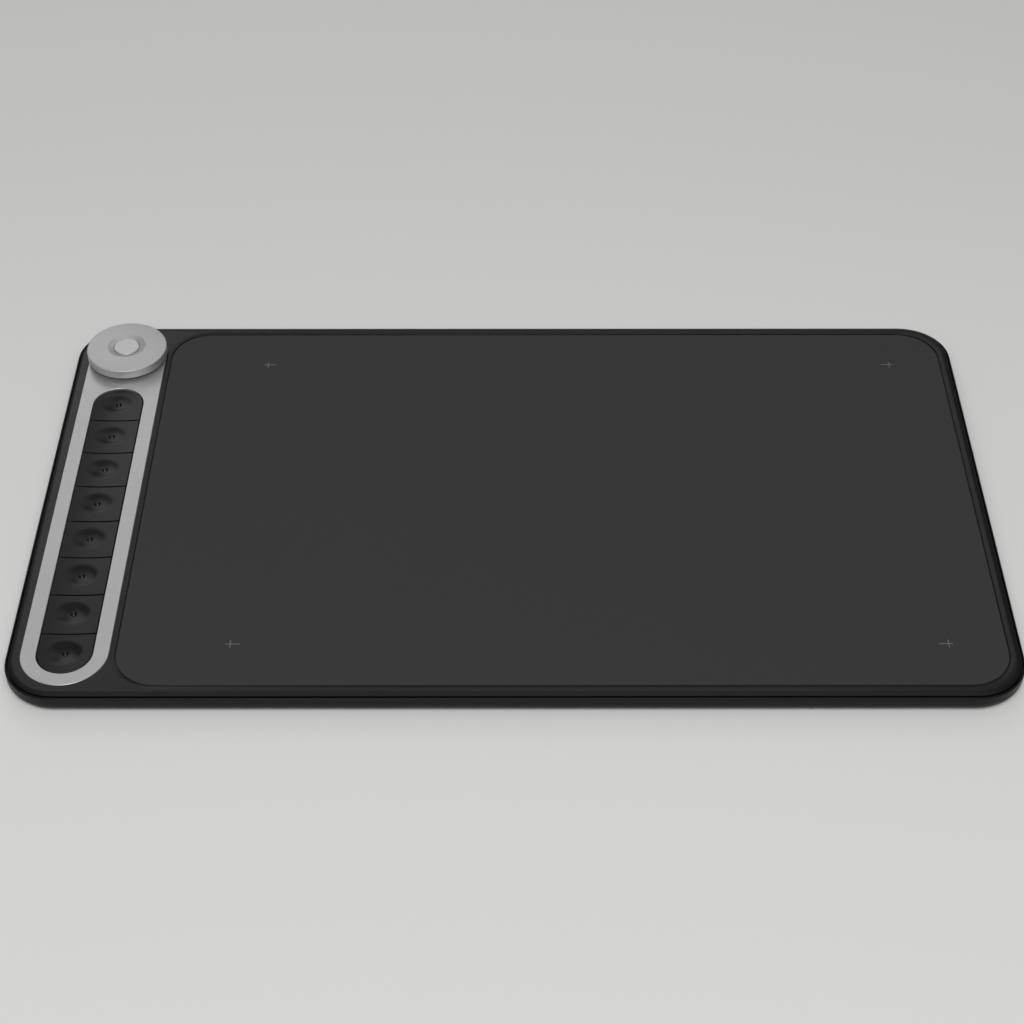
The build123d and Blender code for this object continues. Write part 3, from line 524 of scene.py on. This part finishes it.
def makeNub():
    bpy.ops.mesh.primitive_cone_add(vertices=nubPlan["sides"], radius1=nubPlan["foot"],
                                    radius2=nubPlan["top"], depth=nubPlan["height"],
                                    location=(0, 0, -nubPlan["height"] / 2))
    nub = bpy.context.object
    bakePlace(nub)
    applyModifier(nub, "BEVEL", width=nubPlan["round"], segments=5, limit_method="ANGLE")
    return nub


def findNubTop(keyName):
    low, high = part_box(keyName)
    centre = Vector(((low[0] + high[0]) / 2, (low[1] + high[1]) / 2 + nubPlan["behind"]))
    near = [point for solid in findSolids(keyName) for point in solid
            if (point.xy - centre).length < nubPlan["search"]]
    return centre.x, centre.y, max(point.z for point in near) + nubPlan["proud"]


firstNub = makeNub()
for number, keyName in enumerate(keyNames, 1):
    nub = copyPiece(firstNub)
    nub.name = "keyNub%d" % number
    nub.location = findNubTop(keyName)
    settlePiece(nub, made["keyPlastic"], keyName, smoothAngle=50)
bpy.data.objects.remove(firstNub)
print("key nubs made")

# Camera, lamps and floor

cameraPlan = {"place": (-0.00155, -0.6274, 0.5712), "aim": (-0.00103, -0.0105, 0.0090), "lens": 74.0,
              "sensorWidth": 36, "nearest": 0.01}
floorPlan = {"radius": 3.0, "sides": 96, "colour": (0.72, 0.72, 0.71, 1), "rough": 0.9}
worldPlan = {"colour": (0.9, 0.9, 0.9, 1), "strength": 0.12}

bpy.ops.object.camera_add(location=cameraPlan["place"])
camera = bpy.context.object
camera.name = "photoCamera"
camera.data.lens = cameraPlan["lens"]
camera.data.sensor_width = cameraPlan["sensorWidth"]
camera.data.clip_start = cameraPlan["nearest"]
gaze = Vector(cameraPlan["aim"]) - Vector(cameraPlan["place"])
camera.rotation_euler = gaze.to_track_quat("-Z", "Y").to_euler()
bpy.context.scene.camera = camera

bpy.ops.mesh.primitive_circle_add(vertices=floorPlan["sides"], radius=floorPlan["radius"],
                                  fill_type="NGON", location=(0, 0, 0))
floor = bpy.context.object
floor.name = "studioFloor"
floorLook = bpy.data.materials.new("paleFloor")
floorLook.use_nodes = True
floorShader = floorLook.node_tree.nodes["Principled BSDF"]
floorShader.inputs["Base Color"].default_value = floorPlan["colour"]
floorShader.inputs["Roughness"].default_value = floorPlan["rough"]
floor.data.materials.append(floorLook)

lamps = {
    "backLeftSoftbox": {"place": (-0.69, 1.50, 1.12), "size": (0.58, 1.00), "glow": 1.32},
    "backRightSoftbox": {"place": (0.21, 1.45, 1.45), "size": (0.82, 0.80), "glow": 0.85},
    "overheadSoftbox": {"place": (0.0, 0.30, 2.40), "size": (2.20, 1.80), "glow": 0.40},
    "frontLamp": {"place": (0.0, -1.30, 1.75), "size": (1.20, 0.60), "glow": 8.0},
    "frontFill": {"place": (0.0, -1.40, 1.75), "size": (2.40, 1.50), "glow": 2.2, "mirrored": False},
}
for name, plan in lamps.items():
    bpy.ops.object.light_add(type="AREA", location=plan["place"])
    lamp = bpy.context.object
    lamp.name = name
    lamp.data.shape = "RECTANGLE"
    lamp.data.size, lamp.data.size_y = plan["size"]
    lamp.data.energy = plan["glow"] * math.pi * plan["size"][0] * plan["size"][1]
    lamp.rotation_euler = (-Vector(plan["place"])).to_track_quat("-Z", "Y").to_euler()
    lamp.visible_glossy = plan.get("mirrored", True)

world = bpy.data.worlds.new("studioWorld")
bpy.context.scene.world = world
world.use_nodes = True
world.node_tree.nodes["Background"].inputs["Color"].default_value = worldPlan["colour"]
world.node_tree.nodes["Background"].inputs["Strength"].default_value = worldPlan["strength"]
bpy.context.scene.view_settings.view_transform = "Standard"
print("camera, lamps and floor in place")
